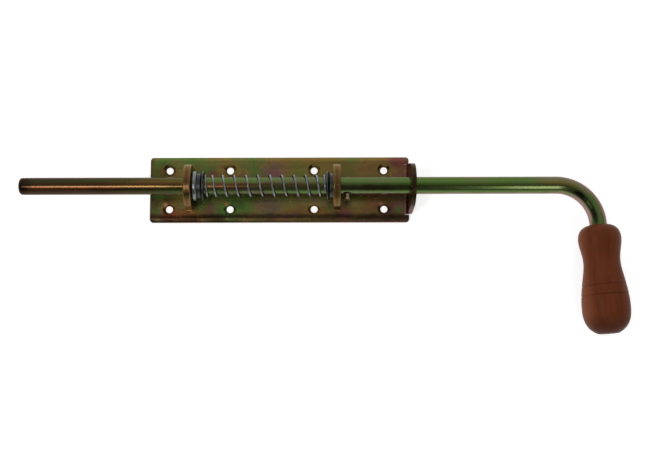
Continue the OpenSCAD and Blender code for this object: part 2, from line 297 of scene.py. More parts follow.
class Effects:
    """Patterns that the finishes place with their own values, each built once."""

    def __init__(self) -> None:
        """Builds every group."""
        self.film = self._film_thickness()
        self.wear = self._fine_wear()
        self.grain = self._wood_grain()
        self.patch = self._patch_mask()

    @staticmethod
    def _film_thickness() -> bpy.types.NodeTree:
        """Cloudy thickness of a passivation film: wide clouds plus finer flecks, spread about the middle.

        Returns:
            The group, which puts out a value from 0 to 1.
        """
        graph, given = effect(
            "film_thickness",
            {"Vector": ("NodeSocketVector", None), "Clouds": ("NodeSocketFloat", 30.0),
             "Flecks": ("NodeSocketFloat", 140.0), "Fleck Share": ("NodeSocketFloat", 0.25),
             "Contrast": ("NodeSocketFloat", 2.2)},
            {"Thickness": "NodeSocketFloat"})
        middle = 0.5
        clouds = graph.noise(given["Vector"], given["Clouds"], roughness=0.55, distortion=0.8)
        flecks = graph.noise(given["Vector"], given["Flecks"], detail=3.0, roughness=0.6, distortion=0.3)
        both = graph.node("ShaderNodeMix", {0: given["Fleck Share"], 2: clouds, 3: flecks}).outputs[0]
        centred = graph.math("MULTIPLY", graph.math("SUBTRACT", both, middle), given["Contrast"])
        held = graph.node("ShaderNodeClamp", {0: graph.math("ADD", centred, middle)}).outputs[0]
        graph.node("NodeGroupOutput", {"Thickness": held})
        return graph.tree

    @staticmethod
    def _fine_wear() -> bpy.types.NodeTree:
        """Fine pitting and draw marks.

        Returns:
            The group, which puts out a grey mask for colour and roughness, and a height for relief.
        """
        graph, given = effect(
            "fine_wear",
            {"Vector": ("NodeSocketVector", None), "Pits": ("NodeSocketFloat", 900.0),
             "Marks": ("NodeSocketFloat", 260.0), "Mark Stretch": ("NodeSocketVector", (0.06, 1.0, 1.0))},
            {"Mask": "NodeSocketFloat", "Height": "NodeSocketFloat"})
        pits = graph.noise(given["Vector"], given["Pits"], roughness=0.6)
        drawn = graph.stretch(given["Vector"], given["Mark Stretch"])
        marks = graph.noise(drawn, given["Marks"], detail=3.0, roughness=0.65)
        mask = graph.weigh(pits, marks, share=0.55)
        graph.node("NodeGroupOutput", {"Mask": mask, "Height": graph.math("ADD", pits, marks)})
        return graph.tree

    @staticmethod
    def _patch_mask() -> bpy.types.NodeTree:
        """Ragged patch, for a stained spot or for painted light or shade, by the distance from its centre
        after the spread is applied.

        Returns:
            The group, which puts out 1 at the centre and 0 past the reach.
        """
        graph, given = effect(
            "patch_mask",
            {"Vector": ("NodeSocketVector", None), "Centre": ("NodeSocketVector", (0.0, 0.0, 0.0)),
             "Spread": ("NodeSocketVector", (1.0, 1.0, 0.0)), "Reach": ("NodeSocketFloat", 0.01)},
            {"Mask": "NodeSocketFloat"})
        offset = graph.node("ShaderNodeVectorMath", {0: given["Vector"], 1: given["Centre"]},
                            operation="SUBTRACT").outputs[0]
        spread = graph.stretch(offset, given["Spread"])
        away = graph.node("ShaderNodeVectorMath", {0: spread}, operation="LENGTH").outputs["Value"]
        share = graph.math("DIVIDE", away, given["Reach"])
        ragged = graph.noise(given["Vector"], scale=85.0, detail=3.0, roughness=0.6)
        rough_share = graph.math("ADD", share, graph.math("SUBTRACT", ragged, 0.5))
        graph.node("NodeGroupOutput", {"Mask": graph.span(rough_share, low=1.1, high=0.1)})
        return graph.tree

    @staticmethod
    def _wood_grain() -> bpy.types.NodeTree:
        """Grain of turned wood along Z.

        Returns:
            The group, which puts out growth bands, long fibres and short dark pores.
        """
        graph, given = effect(
            "wood_grain",
            {"Vector": ("NodeSocketVector", None), "Bands": ("NodeSocketFloat", 120.0),
             "Fibres": ("NodeSocketFloat", 900.0), "Pores": ("NodeSocketFloat", 1500.0)},
            {"Bands": "NodeSocketFloat", "Fibres": "NodeSocketFloat", "Pores": "NodeSocketFloat"})

        def drawn(squeeze: float) -> bpy.types.NodeSocket:
            """Squeezes the coordinates along Z, which draws a pattern out along it."""
            return graph.stretch(given["Vector"], (1.0, 1.0, squeeze))
        bands = graph.noise(drawn(squeeze=0.16), given["Bands"], distortion=0.5)
        fibres = graph.noise(drawn(squeeze=0.035), given["Fibres"], roughness=0.6)
        specks = graph.noise(drawn(squeeze=0.05), given["Pores"], detail=1.0)
        pores = graph.span(specks, low=0.66, high=0.74)
        graph.node("NodeGroupOutput", {"Bands": bands, "Fibres": fibres, "Pores": pores})
        return graph.tree


# finishes


def start_material(name: str, place: Place) -> tuple[bpy.types.Material, Graph, bpy.types.NodeSocket]:
    """Starts a material whose patterns follow the given coordinates.

    Args:
        name: The material's name.
        place: Object coordinates, or the piece's own straight coordinates.

    Returns:
        The material, its graph and the coordinates' socket.
    """
    material = bpy.data.materials.new(name)
    material.use_nodes = True
    graph = Graph(material.node_tree)
    if place is Place.OBJECT:
        vector = graph.node("ShaderNodeTexCoord").outputs["Object"]
    else:
        vector = graph.node("ShaderNodeAttribute", attribute_name=place.value).outputs["Vector"]
    return material, graph, vector


@dataclass(frozen=True)
class StainOrPaintedLight:
    """A patch over a passivation film: a stained spot in the film, or painted light or shade.

    Distances from its centre are multiplied by the spread first, so a small share draws the patch out that
    way and 0 lets it run right through.
    """

    centre: Point
    reach: float
    colour: Colour
    strength: float = 0.7
    spread: Point = (1.0, 1.0, 0.0)


@dataclass(frozen=True)
class PassivatedZinc:
    """Zinc plate under a cloudy olive-yellow passivation film."""

    name: str
    place: Place
    stops: Stops
    clouds: float = 30.0
    flecks: float = 140.0
    fleck_share: float = 0.25
    contrast: float = 2.2
    stretch: Point = (0.55, 1.0, 1.0)
    drift: float = 0.0
    drift_from: float = 0.0
    drift_to: float = 1.0
    roughness: float = 0.34
    roughness_range: float = 0.14
    mark_stretch: Point = (0.06, 1.0, 1.0)
    edge_tint: Colour = (0.9, 0.72, 0.78)
    bump: float = 0.05
    speckle: float = 0.18
    stains_and_painted_light: tuple[StainOrPaintedLight, ...] = ()

    def build(self, effects: Effects) -> bpy.types.Material:
        """Makes the material.

        Stained spots, and patches of painted light and shade, are laid over it, each over the ones before.
        Stains are laid over it, each over the ones before.

        Args:
            effects: The shared node groups.

        Returns:
            The finished material.
        """
        material, graph, vector = start_material(self.name, self.place)
        placed = graph.node("ShaderNodeMapping", {"Vector": vector, "Scale": self.stretch}).outputs[0]
        film = graph.node("ShaderNodeGroup", {
            "Vector": placed, "Clouds": self.clouds, "Flecks": self.flecks,
            "Fleck Share": self.fleck_share, "Contrast": self.contrast}, node_tree=effects.film)
        along = graph.node("ShaderNodeSeparateXYZ", {0: vector}).outputs[0]
        drift = graph.span(along, self.drift_from, self.drift_to, -self.drift / 2, self.drift / 2)
        colour = graph.ramp(graph.math("ADD", film.outputs[0], drift), self.stops)
        for patch in self.stains_and_painted_light:
            mask = graph.node("ShaderNodeGroup", {
                "Vector": vector, "Centre": patch.centre, "Spread": patch.spread,
                "Reach": patch.reach}, node_tree=effects.patch).outputs[0]
            colour = graph.mix(graph.math("MULTIPLY", mask, patch.strength), colour, (*patch.colour, 1.0))
        wear = graph.node("ShaderNodeGroup", {"Vector": vector, "Mark Stretch": self.mark_stretch},
                          node_tree=effects.wear)
        fine = wear.outputs["Mask"]
        grey = graph.span(fine, NOISE_LOW, NOISE_HIGH, 1 - self.speckle, 1 + self.speckle)
        speckled = graph.node("ShaderNodeVectorMath", {0: colour, "Scale": grey},
                              operation="SCALE").outputs[0]
        half_range = self.roughness_range / 2
        rough = graph.span(fine, NOISE_LOW, NOISE_HIGH, self.roughness - half_range,
                           self.roughness + half_range)
        shader = graph.node("ShaderNodeBsdfPrincipled", {
            "Base Color": speckled, "Metallic": 1.0, "Roughness": rough,
            "Normal": graph.relief(self.bump, wear.outputs["Height"]),
            "Specular Tint": (*self.edge_tint, 1.0)})
        graph.node("ShaderNodeOutputMaterial", {"Surface": shader.outputs[0]})
        return material


@dataclass(frozen=True)
class BrightZinc:
    """Zinc plate without a film, blue-grey, with faint spangle and turning marks."""

    name: str
    place: Place
    light: Colour
    dark: Colour
    roughness: float = 0.3
    rougher: float = 0.08
    smoother: float = 0.06
    spangle: float = 160.0
    spangle_share: float = 0.4
    tone_from: float = 0.35
    tone_to: float = 0.65
    mark_stretch: Point = (1.0, 0.08, 0.08)
    bump: float = 0.06

    def build(self, effects: Effects) -> bpy.types.Material:
        """Makes the material: two greys mixed by fine wear and spangle, which also set the roughness.

        Args:
            effects: The shared node groups.

        Returns:
            The finished material.
        """
        material, graph, vector = start_material(self.name, self.place)
        wear = graph.node("ShaderNodeGroup", {"Vector": vector, "Mark Stretch": self.mark_stretch},
                          node_tree=effects.wear)
        spangle = graph.noise(vector, self.spangle, roughness=0.6, distortion=1.0)
        both = graph.weigh(wear.outputs["Mask"], spangle, self.spangle_share)
        tone = graph.span(both, self.tone_from, self.tone_to)
        colour = graph.mix(tone, (*self.dark, 1.0), (*self.light, 1.0))
        rough = graph.span(both, NOISE_LOW, NOISE_HIGH, self.roughness + self.rougher,
                           self.roughness - self.smoother)
        shader = graph.node("ShaderNodeBsdfPrincipled", {
            "Base Color": colour, "Metallic": 1.0, "Roughness": rough,
            "Normal": graph.relief(self.bump, wear.outputs["Height"])})
        graph.node("ShaderNodeOutputMaterial", {"Surface": shader.outputs[0]})
        return material


@dataclass(frozen=True)
class StainedWood:
    """Turned hardwood, stained red-brown, under a thinly laid matt varnish."""

    name: str
    place: Place
    light: Colour
    dark: Colour
    pore: Colour
    rim_light: Colour
    fibre_share: float = 0.4
    tone_from: float = 0.36
    tone_to: float = 0.64
    pore_strength: float = 0.5
    rim_light_from: float = -11.0 * MM
    rim_light_to: float = -21.0 * MM
    rim_light_strength: float = 0.75
    foot_from: float = 80.0 * MM
    foot_to: float = 99.0 * MM
    foot_strength: float = 0.6
    groove_at: tuple[float, ...] = ()
    groove_dark_to: float = 0.42 * MM
    groove_ends_at: float = 1.05 * MM
    groove_strength: float = 0.15
    rough_dark: float = 0.52
    rough_light: float = 0.42
    bump: float = 0.12
    gloss: float = 0.1

    def build(self, effects: Effects) -> bpy.types.Material:
        """Makes the material: a stained colour between two browns by the grain, darker in pores and turned
        grooves.

        The side towards the latch is painted lighter, a painted rim light, and the colour darkens towards the
        foot.

        Args:
            effects: The shared node groups.

        Returns:
            The finished material.
        """
        material, graph, vector = start_material(self.name, self.place)
        pore_colour = (*self.pore, 1.0)
        grain = graph.node("ShaderNodeGroup", {"Vector": vector}, node_tree=effects.grain)
        bands, fibres, pores = (grain.outputs[label] for label in ("Bands", "Fibres", "Pores"))
        tone = graph.weigh(bands, fibres, self.fibre_share)
        stained = graph.mix(graph.span(tone, self.tone_from, self.tone_to), (*self.dark, 1.0),
                            (*self.light, 1.0))
        stained = graph.mix(graph.math("MULTIPLY", pores, self.pore_strength), stained, pore_colour)
        place = graph.node("ShaderNodeSeparateXYZ", {0: vector})
        towards_latch, depth = place.outputs[0], place.outputs[2]
        # painted rim light: the side towards the latch is lighter
        lit_rim = graph.span(towards_latch, self.rim_light_from, self.rim_light_to, 0.0, self.rim_light_strength)
        stained = graph.mix(lit_rim, stained, (*self.rim_light, 1.0))
        # darker towards the foot
        darker_foot = graph.span(depth, self.foot_from, self.foot_to, 0.0, self.foot_strength)
        stained = graph.mix(darker_foot, stained, pore_colour)
        for groove in self.groove_at:
            away = graph.math("ABSOLUTE", graph.math("SUBTRACT", depth, groove))
            near = graph.span(away, self.groove_dark_to, self.groove_ends_at, self.groove_strength, 0.0)
            stained = graph.mix(near, stained, pore_colour)
        rough = graph.span(tone, NOISE_LOW, NOISE_HIGH, self.rough_dark, self.rough_light)
        shader = graph.node("ShaderNodeBsdfPrincipled", {
            "Base Color": stained, "Roughness": rough,
            "Normal": graph.relief(self.bump, graph.math("SUBTRACT", fibres, pores)),
            "Specular IOR Level": self.gloss})
        graph.node("ShaderNodeOutputMaterial", {"Surface": shader.outputs[0]})
        return material


# surfaces


@dataclass
class Skin:
    """Gathers rings of points into one closed mesh with its own straight coordinates."""

    points: list[np.ndarray] = field(default_factory=list)
    places: list[np.ndarray] = field(default_factory=list)
    faces: list[list[int]] = field(default_factory=list)
    count: int = 0

    def rings(self, grid: np.ndarray, straight: np.ndarray) -> None:
        """Adds a tube, closed at both ends by a fan: face (i, j) spans rings i and i + 1 at point j.

        Args:
            grid: Points, rings by sides by 3, each ring turning right-handed about the tube's direction.
            straight: The same points with the tube laid out straight.
        """
        rings, sides = grid.shape[:2]
        index = self.count + np.arange(rings * sides).reshape(rings, sides)
        after = np.roll(index, -1, axis=1)
        quads = np.stack([index[:-1], after[:-1], after[1:], index[1:]], axis=-1).reshape(-1, 4)
        self.faces += quads.tolist()
        self._keep(grid.reshape(-1, 3), straight.reshape(-1, 3))
        for ring, faces_ahead in ((0, False), (rings - 1, True)):
            middle = self.count
            self._keep(grid[ring].mean(0)[None], straight[ring].mean(0)[None])
            fan = np.stack([np.full(sides, middle), index[ring], after[ring]], axis=-1)
            self.faces += (fan if faces_ahead else fan[:, ::-1]).tolist()

    def _keep(self, points: np.ndarray, places: np.ndarray) -> None:
        """Appends points.

        Args:
            points: The points, one a row.
            places: Their own straight coordinates.
        """
        self.points.append(points)
        self.places.append(places)
        self.count += len(points)

    def piece(self, name: str, material: bpy.types.Material) -> bpy.types.Object:
        """Makes the Blender object, smooth and at the origin.

        Args:
            name: The piece's name.
            material: Its finish.

        Returns:
            The new object.
        """
        mesh = bpy.data.meshes.new(name)
        mesh.from_pydata(np.vstack(self.points).tolist(), [], self.faces)
        own = mesh.attributes.new(Place.OWN.value, "FLOAT_VECTOR", "POINT")
        own.data.foreach_set("vector", np.vstack(self.places).astype(np.float32).ravel())
        mesh.polygons.foreach_set("use_smooth", np.ones(len(mesh.polygons), dtype=bool))
        mesh.materials.append(material)
        mesh.validate()
        mesh.update()
        made = bpy.data.objects.new(name, mesh)
        bpy.context.scene.collection.objects.link(made)
        return made


def ring_turns(sides: int) -> np.ndarray:
    """Angles of the points of one ring, evenly spread over a full turn."""
    return np.arange(sides) * 2 * math.pi / sides


def circle(turns: np.ndarray, side: np.ndarray, up: np.ndarray) -> np.ndarray:
    """Unit circles in the planes of two directions: cos t side + sin t up.

    Args:
        turns: Angles t of the points.
        side: First direction, one row for each circle.
        up: Second direction, one row for each circle or one for all.

    Returns:
        Points, circles by angles by 3.
    """
    return np.cos(turns)[None, :, None] * side[:, None, :] + np.sin(turns)[None, :, None] * up[:, None, :]


def laid_straight(along: np.ndarray, radius: np.ndarray, turns: np.ndarray) -> np.ndarray:
    """Lays a tube's points out along X: (distance, radius cos t, radius sin t).

    Args:
        along: Distance of each ring.
        radius: Radius of each ring.
        turns: Angles t of the points of a ring.

    Returns:
        Points, rings by sides by 3.
    """
    across, upward = radius[:, None] * np.cos(turns), radius[:, None] * np.sin(turns)
    return np.stack([np.broadcast_to(along[:, None], across.shape), across, upward], axis=-1)


def natural_spline(knots: np.ndarray, values: np.ndarray, at: np.ndarray) -> np.ndarray:
    """Evaluates a natural cubic spline.

    With h the steps and y the values, the second derivatives m solve
    h0 m0 + 2 (h0 + h1) m1 + h1 m2 = 6 ((y2 - y1) / h1 - (y1 - y0) / h0), and m is 0 at both ends.

    Args:
        knots: Rising parameters.
        values: Values there.
        at: Parameters to evaluate at.

    Returns:
        The spline's values.
    """
    step = np.diff(knots)
    slope = np.diff(values) / step
    size = len(knots)
    system, right = np.eye(size), np.zeros(size)
    inner = np.arange(1, size - 1)
    system[inner, inner - 1] = step[:-1]
    system[inner, inner] = 2 * (step[:-1] + step[1:])
    system[inner, inner + 1] = step[1:]
    right[inner] = 6 * np.diff(slope)
    bend = np.linalg.solve(system, right)
    span = np.clip(np.searchsorted(knots, at, side="right") - 1, 0, size - 2)
    left, h = at - knots[span], step[span]
    first = slope[span] - h * (2 * bend[span] + bend[span + 1]) / 6
    return (values[span] + left * first + left ** 2 * bend[span] / 2
            + left ** 3 * (bend[span + 1] - bend[span]) / (6 * h))


def settle(piece: bpy.types.Object, body: Body, node: str) -> bpy.types.Object:
    """Puts a new piece on its body, in place of a CAD node.

    Args:
        piece: The new piece.
        body: The body that it rides on.
        node: The CAD node that it stands for.

    Returns:
        The piece.
    """
    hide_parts(node)
    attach(piece, body.value)
    LOG.info("%s: %d faces on %s", piece.name, len(piece.data.polygons), body.value)
    return piece


def dress(node: str, material: bpy.types.Material) -> None:
    """Gives a CAD node's slots a finish.

    Args:
        node: The CAD node.
        material: The finish for all its slots.
    """
    for slot in frame["nodes"][node].material_slots:
        slot.material = material
    LOG.info("%s: dressed in %s", node, material.name)


# colours of the passivation film; SHADE, the last, is painted shade

GREEN = srgb(92, 118, 56)
OLIVE = srgb(110, 112, 62)
GOLD = srgb(130, 116, 60)
BROWN = srgb(126, 96, 58)
ROSE = srgb(122, 84, 86)
UMBER = srgb(92, 58, 44)
MOSS = srgb(76, 98, 58)
RUST = srgb(138, 78, 50)
PLUM = srgb(120, 52, 66)
SHADE = srgb(48, 40, 26)


# sub-assemblies


@dataclass
class PressedPlate:
    """The plate with its bent tab, the two lugs and their welds."""

    plate_stops: Stops = (
        (0.0, MOSS), (0.25, GREEN), (0.45, OLIVE), (0.6, GOLD), (0.75, BROWN), (0.9, ROSE), (1.0, MOSS))
    lug_stops: Stops = (
        (0.0, srgb(96, 82, 46)), (0.35, srgb(108, 88, 50)), (0.65, srgb(112, 82, 50)),
        (1.0, srgb(98, 78, 54)))
    # painted shade: a dark line down the middle of each lug's rounded top
    lug_painted_shade: tuple[StainOrPaintedLight, ...] = (
        StainOrPaintedLight((-0.0837, 0.0, 0.0), 0.0022, srgb(70, 50, 28), 0.55, (1.0, 0.03, 0.0)),
        StainOrPaintedLight((0.0538, 0.0, 0.0), 0.0022, srgb(70, 50, 28), 0.55, (1.0, 0.03, 0.0)))
    stains_and_painted_light: tuple[StainOrPaintedLight, ...] = (
        # patches on the plate's face and edges: film colours, except the SHADE ones, which are painted shade
        StainOrPaintedLight((-0.103, 0.018, 0.0), 0.011, RUST, 0.55),
        StainOrPaintedLight((-0.103, -0.018, 0.0), 0.012, RUST, 0.5),
        StainOrPaintedLight((-0.108, -0.026, 0.0), 0.009, PLUM, 0.7),
        StainOrPaintedLight((-0.082, -0.027, 0.0), 0.016, RUST, 0.8, (0.6, 1.4, 0.0)),
        StainOrPaintedLight((-0.073, 0.025, 0.0), 0.012, GREEN, 0.6, (0.7, 1.2, 0.0)),
        StainOrPaintedLight((-0.062, 0.013, 0.0), 0.009, PLUM, 0.6),
        StainOrPaintedLight((-0.064, -0.018, 0.0), 0.009, PLUM, 0.55),
        StainOrPaintedLight((-0.005, 0.013, 0.0), 0.017, srgb(132, 82, 92), 0.8),
        StainOrPaintedLight((-0.01, -0.015, 0.0), 0.018, ROSE, 0.6),
        StainOrPaintedLight((0.03, 0.026, 0.0), 0.02, RUST, 0.6, (0.5, 1.6, 0.0)),
        StainOrPaintedLight((0.085, 0.0, 0.0), 0.04, BROWN, 0.75, (0.8, 0.8, 0.0)),
        StainOrPaintedLight((0.085, -0.01, 0.0), 0.01, RUST, 0.7),
        StainOrPaintedLight((0.04, -0.021, 0.0), 0.011, RUST, 0.6),
        StainOrPaintedLight((0.018, 0.021, 0.0), 0.012, GREEN, 0.6),
        StainOrPaintedLight((0.112, 0.027, 0.0), 0.014, PLUM, 0.75),
        StainOrPaintedLight((0.06, -0.023, 0.0), 0.011, PLUM, 0.6),
        StainOrPaintedLight((0.112, -0.02, 0.0), 0.006, GREEN, 0.7),
        StainOrPaintedLight((0.1, -0.031, 0.0), 0.022, SHADE, 0.7, (0.5, 1.5, 0.0)),
        StainOrPaintedLight((0.101, -0.017, 0.0), 0.011, SHADE, 0.6),
        StainOrPaintedLight((-0.116, -0.014, 0.0), 0.009, SHADE, 0.6, (1.2, 0.8, 0.0)),
        # painted reflection along the front fall: a dark band, then a paler brown band below it
        StainOrPaintedLight((0.02, -0.0258, 0.0), 0.0042, srgb(40, 30, 22), 0.85, (0.01, 1.0, 0.0)),
        StainOrPaintedLight((0.02, -0.0295, 0.0), 0.0026, srgb(88, 64, 48), 0.6, (0.01, 1.0, 0.0)),
        StainOrPaintedLight((-0.0985, -0.0235, 0.0), 0.01, RUST, 0.75, (0.6, 1.0, 0.0)),
        StainOrPaintedLight((-0.117, -0.026, 0.0), 0.007, UMBER, 0.8),
        StainOrPaintedLight((0.035, 0.018, 0.0), 0.022, GOLD, 0.6, (0.6, 1.0, 0.0)),
        StainOrPaintedLight((-0.1215, 0.0, 0.0), 0.005, UMBER, 0.7, (1.0, 0.05, 0.0)),
        # painted shade over the left lamp's highlight on the front fall
        StainOrPaintedLight((-0.1, -0.0278, 0.0), 0.0048, srgb(34, 22, 14), 0.92, (0.05, 1.0, 0.0)),
        StainOrPaintedLight((0.06, -0.012, 0.0), 0.014, srgb(128, 122, 66), 0.6, (0.5, 1.3, 0.0)),
        StainOrPaintedLight((-0.105, -0.01, 0.0), 0.009, SHADE, 0.5),
        StainOrPaintedLight((-0.112, 0.016, 0.0), 0.012, srgb(84, 60, 34), 0.5),
        # painted highlights on the far rims of the front countersinks
        StainOrPaintedLight((-0.1068, -0.0142, 0.0), 0.003, srgb(214, 160, 128), 0.8),
        StainOrPaintedLight((-0.0497, -0.0138, 0.0), 0.003, srgb(180, 124, 84), 0.75),
        StainOrPaintedLight((0.0292, -0.0138, 0.0), 0.003, srgb(170, 116, 78), 0.7),
        StainOrPaintedLight((0.0947, -0.0138, 0.0), 0.0032, srgb(176, 112, 84), 0.75),
        # painted light along the face under the bar, lifting its shadow and dark reflection there; then
        # painted shade on the tab's inner face and a painted highlight on its outer edge
        StainOrPaintedLight((0.035, -0.0105, 0.0), 0.0075, srgb(150, 138, 96), 0.5, (0.11, 1.0, 0.0)),
        StainOrPaintedLight((0.1245, 0.0, 0.03), 0.009, srgb(38, 32, 20), 0.95, (1.0, 0.05, 0.2)),
        StainOrPaintedLight((0.1295, -0.021, 0.02), 0.0045, srgb(140, 118, 108), 0.7, (1.0, 0.3, 0.15)))

    def dress(self, effects: Effects) -> None:
        """Dresses the plate, the lugs and the weld beads.

        Args:
            effects: The shared node groups.
        """
        plate = PassivatedZinc(
            "passivated_plate", Place.OBJECT, self.plate_stops, clouds=38.0, flecks=110.0, fleck_share=0.4,
            contrast=2.4, stretch=(0.7, 1.0, 1.0), drift=0.26, drift_from=-0.12, drift_to=0.12,
            roughness=0.3, speckle=0.1, edge_tint=(0.95, 0.8, 0.84), stains_and_painted_light=self.stains_and_painted_light).build(effects)
        lug = PassivatedZinc(
            "passivated_lug", Place.OBJECT, self.lug_stops, clouds=60.0, flecks=220.0,
            stretch=(1.0, 1.0, 0.5), roughness=0.3, edge_tint=(0.95, 0.85, 0.72),
            stains_and_painted_light=self.lug_painted_shade).build(effects)
        for node in ("nose_lug", "stop_lug"):
            dress(node, lug)
        for node in ("base_plate", "nose_weld_left", "nose_weld_right", "stop_weld_left", "stop_weld_right"):
            dress(node, plate)


@dataclass
class BoltBar:
    """The cranked round bar, from its rounded nose through the bend into the grip."""

    nose_x: float = SIZES.nose_x
    bend_x: float = 256.1 * MM
    axis_z: float = SIZES.axis_z
    radius: float = SIZES.bar_radius
    nose_round: float = 3.3 * MM
    bend_radius: float = 38.0 * MM
    bend_angle: float = math.radians(86.5)
    arm_length: float = 11.5 * MM
    sides: int = 72
    nose_rings: int = 12
    straight_rings: int = 60
    bend_steps: int = 64
    arm_steps: int = 4
    straight_from: float = 1.5  # first ring past the nose, in nose rounds
    stops: Stops = (
        (0.0, srgb(50, 42, 32)), (0.3, srgb(60, 52, 34)), (0.48, srgb(76, 84, 42)), (0.66, srgb(74, 104, 46)),
        (0.84, srgb(84, 104, 58)), (1.0, srgb(104, 92, 74)))
    # places are distance from the nose, then across towards the outer side, then up
    stains_and_painted_light: tuple[StainOrPaintedLight, ...] = (
        # from the nose to the nose lug
        StainOrPaintedLight((0.075, -0.0013, 0.0079), 0.0046, srgb(94, 62, 38), 0.85, (0.016, 1.0, 1.0)),
        StainOrPaintedLight((0.05, 0.001, 0.008), 0.006, srgb(64, 50, 32), 0.6, (0.05, 1.0, 1.0)),
        # painted shade along the near side at the nose, over the floor's reflection
        StainOrPaintedLight((0.05, -0.0066, 0.0045), 0.0042, srgb(56, 46, 34), 0.8, (0.015, 1.0, 1.0)),
        # painted light, lifting the dark reflection band below the lamp's highlight
        StainOrPaintedLight((0.02, -0.0038, 0.007), 0.0026, srgb(130, 78, 52), 0.8, (0.03, 1.0, 1.0)),
        StainOrPaintedLight((0.03, 0.0045, 0.0066), 0.004, srgb(46, 54, 30), 0.6, (0.06, 1.0, 1.0)),
        StainOrPaintedLight((0.11, 0.005, 0.0062), 0.004, srgb(58, 70, 32), 0.6, (0.05, 1.0, 1.0)),
        # painted shade over the rounded nose, hiding the lamp's highlight there
        StainOrPaintedLight((0.003, -0.0013, 0.0079), 0.012, srgb(42, 32, 24), 0.95, (1.0, 0.5, 0.5)),
        # a pale painted reflection along the near edge at the nose
        StainOrPaintedLight((0.06, -0.0078, 0.0), 0.003, srgb(92, 78, 68), 0.8, (0.01, 1.0, 1.0)),
        StainOrPaintedLight((0.135, 0.0015, 0.0078), 0.0065, srgb(100, 70, 38), 0.75, (0.12, 1.0, 1.0)),
        # painted shade on the highlight's line by the nose lug, dimming the lamp's highlight
        StainOrPaintedLight((0.143, -0.002, 0.0077), 0.0045, srgb(70, 50, 30), 0.7, (0.3, 1.0, 1.0)),
        # between the two lugs
        StainOrPaintedLight((0.195, -0.001, 0.008), 0.0046, srgb(122, 78, 52), 0.75, (0.1, 1.0, 1.0)),
        # painted shade dimming the lamp's highlight between the lugs
        StainOrPaintedLight((0.235, -0.0013, 0.0079), 0.003, srgb(66, 56, 32), 0.8, (0.05, 1.0, 1.0)),
        StainOrPaintedLight((0.265, -0.001, 0.008), 0.0046, srgb(96, 84, 54), 0.6, (0.08, 1.0, 1.0)),
        # past the stop lug and round the bend
        StainOrPaintedLight((0.335, -0.0035, 0.0072), 0.004, srgb(50, 38, 26), 0.9, (0.05, 1.0, 1.0)),
        StainOrPaintedLight((0.4, -0.003, 0.0074), 0.0028, srgb(60, 68, 38), 0.7, (0.04, 1.0, 1.0)),
        StainOrPaintedLight((0.43, 0.0005, 0.008), 0.0045, srgb(82, 112, 34), 0.6, (0.06, 1.0, 1.0)),
        StainOrPaintedLight((0.502, 0.001, 0.008), 0.0036, srgb(118, 98, 50), 0.8, (0.13, 1.0, 1.0)),
        # painted sheen: a pink line along the bar's far edge
        StainOrPaintedLight((0.425, 0.0078, 0.0015), 0.0032, srgb(116, 92, 100), 0.8, (0.06, 1.0, 1.0)),
        StainOrPaintedLight((0.55, 0.0008, 0.0079), 0.0046, srgb(104, 130, 74), 0.85, (0.12, 1.0, 1.0)),
        # painted sheen along the outer edge of the bend, then a pale painted reflection along the near edge
        StainOrPaintedLight((0.54, 0.0066, 0.0045), 0.008, srgb(116, 98, 84), 0.95, (0.1, 1.0, 1.0)),
        StainOrPaintedLight((0.47, -0.0078, 0.0), 0.0042, srgb(150, 128, 120), 0.9, (0.012, 1.0, 1.0)),
        StainOrPaintedLight((0.521, -0.0036, 0.007), 0.0042, srgb(24, 26, 18), 0.95, (0.3, 1.0, 1.0)),
        # painted shade over the right lamp's highlight on the bend
        StainOrPaintedLight((0.541, -0.0033, 0.0073), 0.0037, srgb(10, 15, 7), 1.0, (0.16, 1.0, 1.0)),
        # painted sheen along the inner edge of the bend
        StainOrPaintedLight((0.54, -0.0078, 0.001), 0.0068, srgb(146, 116, 112), 0.95, (0.09, 1.0, 1.0)))

    @property
    def straight(self) -> float:
        """Length from the nose to the bend."""
        return self.bend_x - self.nose_x

    @property
    def arc(self) -> float:
        """Length of the bend along its centre line."""
        return self.bend_radius * self.bend_angle

    def stations(self) -> tuple[np.ndarray, np.ndarray]:
        """Distances along the bar's centre line, and the bar's radius there.

        The nose is a quarter circle: with b from 0 to a right angle, distance = round (1 - cos b) and
        radius = full - round (1 - sin b).

        Returns:
            Distances from the nose, and radii.
        """
        quarter = np.linspace(0, math.pi / 2, self.nose_rings)
        nose = self.nose_round * (1 - np.cos(quarter))
        rest = np.concatenate([
            np.linspace(self.nose_round * self.straight_from, self.straight, self.straight_rings),
            self.straight + np.linspace(0, self.arc, self.bend_steps + 1)[1:],
            self.straight + self.arc + np.linspace(0, self.arm_length, self.arm_steps + 1)[1:]])
        radii = np.concatenate([self.radius - self.nose_round * (1 - np.sin(quarter)),
                                np.full(len(rest), self.radius)])
        return np.concatenate([nose, rest]), radii

    def centre_line(self, distance: np.ndarray) -> tuple[np.ndarray, np.ndarray]:
        """Centre line and sideways direction at each distance.

        On the bend, with a the angle turned so far, the centre is C + R (sin a, cos a) and the sideways
        direction is (sin a, cos a); before it a is 0, and after it the centre goes on along (cos a, -sin a).

        Args:
            distance: Distances from the nose.

        Returns:
            Centres and sideways unit vectors, each one row per distance.
        """
        turned = np.clip((distance - self.straight) / self.bend_radius, 0, self.bend_angle)
        before = np.minimum(distance - self.straight, 0)
        beyond = np.maximum(distance - self.straight - self.arc, 0)
        side = np.stack([np.sin(turned), np.cos(turned), np.zeros_like(turned)], axis=-1)
        ahead = np.stack([np.cos(turned), -np.sin(turned), np.zeros_like(turned)], axis=-1)
        centre = np.array([self.bend_x, -self.bend_radius, self.axis_z]) + self.bend_radius * side
        return centre + ahead * (before + beyond)[:, None], side

